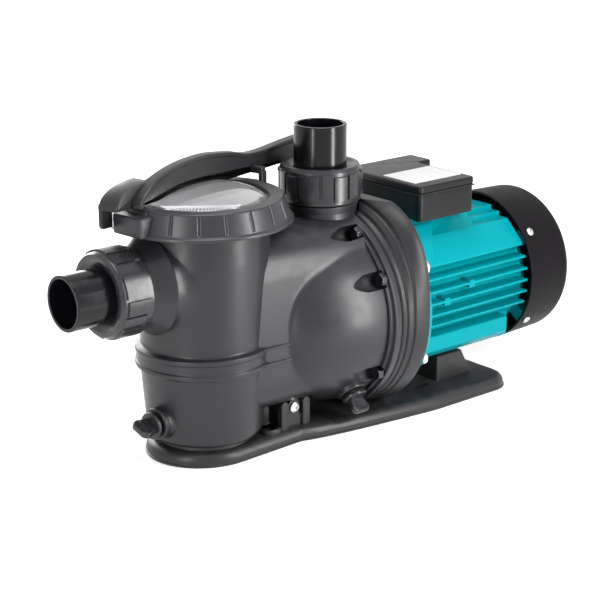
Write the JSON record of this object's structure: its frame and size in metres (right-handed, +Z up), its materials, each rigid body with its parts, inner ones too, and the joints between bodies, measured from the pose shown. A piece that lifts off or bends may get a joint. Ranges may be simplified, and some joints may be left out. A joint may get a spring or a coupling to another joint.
{
  "type": "pool pump",
  "caption": "Self-priming pool pump with a strainer pot under a clear lid, union ports, a finned electric motor and a slotted base plate.",
  "frame": {"origin": "on the floor, at the underside of the base plate below the axis of the strainer pot", "axes": "+X runs from the suction port to the motor, along the shaft; +Z is up; the terminal box's cable gland is on the +Y side"},
  "size_m": [0.5653, 0.208, 0.2875],
  "materials": {
    "charcoal_plastic": "satin moulded charcoal plastic",
    "black_plastic": "satin moulded black plastic",
    "gloss_black_plastic": "smooth black pipe plastic",
    "clear_plastic": "clear polished plastic",
    "basket_plastic": "pale moulded plastic",
    "moulded_resin": "dark glass-filled resin",
    "teal_paint": "satin teal paint on aluminium",
    "stainless_steel": "bright stainless steel",
    "laminated_iron": "laminated motor steel",
    "copper_wire": "varnished copper wire",
    "seal_ceramic": "pale ceramic",
    "black_rubber": "matte black rubber"
  },
  "bodies": {
    "pump_frame": {"base_plate": "black_plastic", "pump_body": "charcoal_plastic", "motor_bracket": "charcoal_plastic", "casing_oring": "black_rubber", "casing_bolt_1": "stainless_steel", "casing_bolt_2": "stainless_steel", "casing_bolt_3": "stainless_steel", "casing_bolt_4": "stainless_steel", "casing_bolt_5": "stainless_steel", "casing_bolt_6": "stainless_steel", "motor_bolt_1": "stainless_steel", "motor_bolt_2": "stainless_steel", "motor_bolt_3": "stainless_steel", "motor_bolt_4": "stainless_steel", "base_screw_1": "stainless_steel", "base_screw_2": "stainless_steel", "motor_housing": "teal_paint", "stator_core": "laminated_iron", "stator_windings": "copper_wire", "front_bearing": "stainless_steel", "rear_bearing": "stainless_steel", "rear_end_shield": "teal_paint", "fan_cover": "black_plastic", "fan_cover_screw_1": "stainless_steel", "fan_cover_screw_2": "stainless_steel", "fan_cover_screw_3": "stainless_steel", "fan_cover_screw_4": "stainless_steel", "terminal_box": "black_plastic", "terminal_box_gasket": "black_rubber", "terminal_box_lid": "black_plastic", "terminal_block": "moulded_resin", "capacitor": "moulded_resin", "cable_gland": "black_plastic", "motor_pad": "black_rubber", "diffuser": "moulded_resin", "seal_seat": "seal_ceramic"},
    "rotor": {"shaft": "stainless_steel", "rotor_core": "laminated_iron", "impeller": "moulded_resin", "seal_head": "moulded_resin", "cooling_fan": "black_plastic", "water_slinger": "black_rubber"},
    "basket": {"strainer_basket": "basket_plastic"},
    "lid_body": {"lid": "clear_plastic", "lid_oring": "black_rubber"},
    "ring": {"lock_ring": "black_plastic"},
    "wrench": {"lid_wrench": "black_plastic"},
    "suction_tail": {"suction_tailpiece": "gloss_black_plastic", "suction_oring": "black_rubber"},
    "suction_nut": {"suction_union_nut": "black_plastic"},
    "discharge_tail": {"discharge_tailpiece": "gloss_black_plastic", "discharge_oring": "black_rubber"},
    "discharge_nut": {"discharge_union_nut": "black_plastic"},
    "strainer_plug_seal": {"strainer_drain_oring": "black_rubber"},
    "strainer_plug": {"strainer_drain_plug": "black_plastic"},
    "volute_plug_seal": {"volute_drain_oring": "black_rubber"},
    "volute_plug": {"volute_drain_plug": "black_plastic"}
  },
  "joints": [
    {"name": "rotor_spin", "type": "hinge", "parent": "pump_frame", "child": "rotor", "pos_m": [0, 0, 0.109], "axis": [1, 0, 0], "continuous": true},
    {"name": "basket_lift", "type": "slide", "parent": "pump_frame", "child": "basket", "axis": [0, 0, 1], "range_m": [0, 0.19]},
    {"name": "lid_lift", "type": "slide", "parent": "basket", "child": "lid_body", "axis": [0, 0, 1], "range_m": [0, 0.06]},
    {"name": "ring_turn", "type": "hinge", "parent": "lid_body", "child": "ring", "pos_m": [0, 0, 0.23], "axis": [0, 0, 1], "range_deg": [0, 90]},
    {"name": "wrench_lift", "type": "slide", "parent": "ring", "child": "wrench", "axis": [0, 0, 1], "range_m": [0, 0.05]},
    {"name": "suction_union_slide", "type": "slide", "parent": "pump_frame", "child": "suction_tail", "axis": [-1, 0, 0], "range_m": [0, 0.0152]},
    {"name": "suction_nut_turn", "type": "hinge", "parent": "suction_tail", "child": "suction_nut", "pos_m": [-0.096, 0, 0.169], "axis": [-1, 0, 0], "range_deg": [0, 1350]},
    {"name": "discharge_union_slide", "type": "slide", "parent": "pump_frame", "child": "discharge_tail", "axis": [0, 0, 1], "range_m": [0, 0.0152]},
    {"name": "discharge_nut_turn", "type": "hinge", "parent": "discharge_tail", "child": "discharge_nut", "pos_m": [0.1405, 0, 0.233], "axis": [0, 0, 1], "range_deg": [0, 1350]},
    {"name": "strainer_plug_slide", "type": "slide", "parent": "pump_frame", "child": "strainer_plug_seal", "axis": [-0.9903, -0.1392, 0], "range_m": [0, 0.014]},
    {"name": "strainer_plug_turn", "type": "hinge", "parent": "strainer_plug_seal", "child": "strainer_plug", "pos_m": [-0.06239, -0.00877, 0.04], "axis": [-0.9903, -0.1392, 0], "range_deg": [0, 1980]},
    {"name": "volute_plug_slide", "type": "slide", "parent": "pump_frame", "child": "volute_plug_seal", "axis": [0, -0.6691, -0.7431], "range_m": [0, 0.014]},
    {"name": "volute_plug_turn", "type": "hinge", "parent": "volute_plug_seal", "child": "volute_plug", "pos_m": [0.128, -0.06223, 0.03989], "axis": [0, -0.6691, -0.7431], "range_deg": [0, 1980]}
  ],
  "couplings": [
    {"joint": "suction_union_slide", "follows": "suction_nut_turn", "m_per_rad": 0.00063662},
    {"joint": "discharge_union_slide", "follows": "discharge_nut_turn", "m_per_rad": 0.00063662},
    {"joint": "strainer_plug_slide", "follows": "strainer_plug_turn", "m_per_rad": 0.00039789},
    {"joint": "volute_plug_slide", "follows": "volute_plug_turn", "m_per_rad": 0.00039789}
  ]
}
